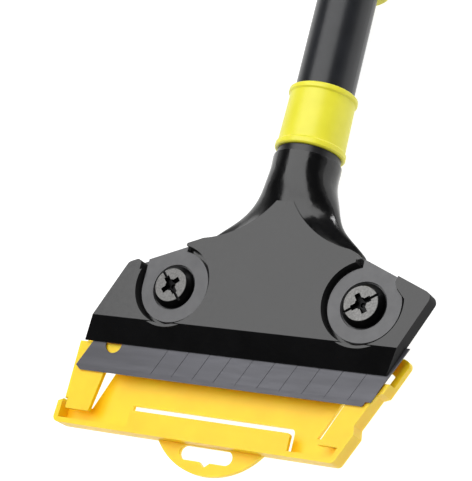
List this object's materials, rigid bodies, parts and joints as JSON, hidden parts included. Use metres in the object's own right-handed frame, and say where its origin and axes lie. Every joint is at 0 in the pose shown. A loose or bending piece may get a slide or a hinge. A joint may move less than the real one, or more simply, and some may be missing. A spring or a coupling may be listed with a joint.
{
  "type": "floor scraper",
  "caption": "Hand floor scraper: steel blade clamped in a leaning cast head by two slotted screws, short tube handle with cushioned grip, and a slide-off blade guard.",
  "frame": {"origin": "the point of the head's flat front face midway between the two clamp screws", "axes": "+X along the blade, +Y up the handle, +Z out of the flat front face"},
  "size_m": [0.1168, 0.2691, 0.03],
  "materials": {
    "black_paint": "gloss",
    "black_plate": "satin",
    "zinc_steel": "zinc plated",
    "blade_steel": "ground, dark",
    "lug_metal": "satin grey",
    "screw_steel": "blackened, worn bright on top",
    "tube_paint": "satin",
    "ring_plastic": "matte",
    "lemon_plastic": "semi-gloss",
    "black_rubber": "matte",
    "guard_plastic": "semi-gloss, slightly translucent"
  },
  "bodies": {
    "tool": {"head_casting": "black_paint", "lug_left": "lug_metal", "lug_right": "lug_metal", "spring_washers": "zinc_steel", "dowels": "zinc_steel", "handle_tube": "tube_paint", "roll_pin": "zinc_steel", "neck_ring": "ring_plastic", "ferrule": "lemon_plastic", "grip_core": "lemon_plastic", "grip_front_shell": "black_rubber", "grip_rear_shell": "black_rubber", "end_cap": "lemon_plastic", "tube_plug": "ring_plastic", "cap_screw": "zinc_steel"},
    "clamp": {"clamp_plate": "black_plate", "clamp_nuts": "zinc_steel"},
    "screw_left": {"clamp_screw_left": "screw_steel", "screw_clip_left": "zinc_steel"},
    "screw_right": {"clamp_screw_right": "screw_steel", "screw_clip_right": "zinc_steel"},
    "blade": {"blade": "blade_steel"},
    "guard": {"blade_guard": "guard_plastic"}
  },
  "joints": [
    {"name": "screw_left_turn", "type": "hinge", "parent": "tool", "child": "screw_left", "pos_m": [-0.0317, 0, 0], "axis": [0, 0, 1], "range_deg": [0, 720]},
    {"name": "screw_right_turn", "type": "hinge", "parent": "tool", "child": "screw_right", "pos_m": [0.0317, 0, 0], "axis": [0, 0, 1], "range_deg": [0, 720]},
    {"name": "clamp_open", "type": "slide", "parent": "tool", "child": "clamp", "axis": [0, 0, -1], "range_m": [0, 0.002]},
    {"name": "blade_slide", "type": "slide", "parent": "tool", "child": "blade", "axis": [1, 0, 0], "range_m": [0, 0.11]},
    {"name": "guard_slide", "type": "slide", "parent": "tool", "child": "guard", "axis": [0, -1, 0], "range_m": [0, 0.06]}
  ],
  "couplings": [
    {"joint": "screw_left_turn", "follows": "clamp_open", "rad_per_m": 6283.2},
    {"joint": "screw_right_turn", "follows": "clamp_open", "rad_per_m": 6283.2}
  ]
}
